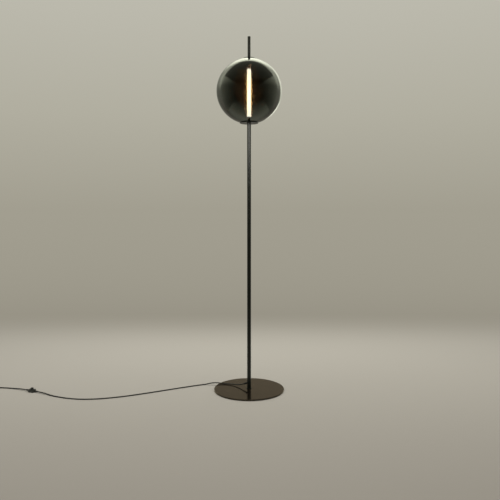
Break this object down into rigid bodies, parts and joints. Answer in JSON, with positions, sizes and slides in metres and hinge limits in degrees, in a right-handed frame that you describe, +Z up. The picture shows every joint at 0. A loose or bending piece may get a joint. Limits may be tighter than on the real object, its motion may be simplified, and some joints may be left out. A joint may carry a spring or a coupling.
{
  "type": "floor lamp",
  "caption": "Floor lamp with a round plate base, a thin pole, a smoked glass globe round an upright light bar, and a mains cord with a foot switch, a tied coil and a plug.",
  "frame": {"origin": "centre of the base's underside, where the lamp stands on the floor", "axes": "+Z up the pole; the front faces -Y, +X is to the right seen from the front"},
  "size_m": [1.439, 0.376, 1.6251],
  "materials": {
    "felt": "felt underside pad",
    "bronze_lacquer": "semi-gloss dark bronze lacquer",
    "black_lacquer": "satin black lacquer",
    "zinc_steel": "bright zinc plated steel",
    "smoked_glass": "clear smoked grey blown glass",
    "opal_acrylic": "opal acrylic, lit warm white",
    "aluminium_bar": "mill finish extrusion",
    "white_board": "white solder mask board",
    "green_board": "green solder mask board",
    "dark_component": "moulded component bodies",
    "led_phosphor": "yellow phosphor",
    "wire_sleeve": "brown and blue wire insulation",
    "rubber_black": "black rubber",
    "cord_black": "black flexible cord jacket",
    "case_black": "fine textured black moulding",
    "button_black": "smooth black moulding",
    "spring_steel": "drawn spring wire",
    "terminal_brass": "turned brass",
    "pin_nickel": "bright nickel plated brass"
  },
  "bodies": {
    "lamp": {"base_pad": "felt", "base_plate": "bronze_lacquer", "base_bolt": "zinc_steel", "pole_foot_ring": "black_lacquer", "pole_foot_insert": "zinc_steel", "pole_tube": "black_lacquer", "cord_gland": "rubber_black", "driver_board": "green_board", "driver_components": "dark_component", "mains_cores": "wire_sleeve", "light_cores": "wire_sleeve", "pole_top_hub": "black_lacquer", "threaded_nipple": "zinc_steel", "globe_carrier": "black_lacquer", "bottom_gasket": "rubber_black", "globe_glass": "smoked_glass", "top_gasket": "rubber_black", "globe_top_cap": "black_lacquer", "top_cap_grub_screws": "zinc_steel", "lower_rod": "black_lacquer", "diffuser_bottom_cap": "black_lacquer", "diffuser_top_cap": "black_lacquer", "light_bar": "aluminium_bar", "led_strip_front": "white_board", "led_strip_back": "white_board", "led_strip_left": "white_board", "led_strip_right": "white_board", "led_chips": "led_phosphor", "diffuser_tube": "opal_acrylic", "upper_rod": "black_lacquer", "rod_tip": "black_lacquer", "switch_lower_shell": "case_black", "switch_upper_shell": "case_black", "switch_module": "dark_component", "switch_spring": "spring_steel", "switch_terminals": "terminal_brass", "switch_cores": "wire_sleeve", "switch_screws": "zinc_steel", "switch_boot_lamp_side": "rubber_black", "switch_boot_plug_side": "rubber_black", "cord_lamp_to_switch": "cord_black", "cord_switch_to_coil": "cord_black", "cord_coil": "cord_black", "cord_coil_to_plug": "cord_black", "coil_tie": "rubber_black", "plug_body": "case_black", "plug_pins": "pin_nickel", "plug_boot": "rubber_black"},
    "foot_button": {"switch_button": "button_black"}
  },
  "joints": [
    {"name": "foot_button_press", "type": "slide", "parent": "lamp", "child": "foot_button", "axis": [0, 0, -1], "range_m": [0, 0.0025], "stiffness_N_per_m": 2000, "springref_m": -0.001, "deforming": ["switch_spring"]}
  ]
}
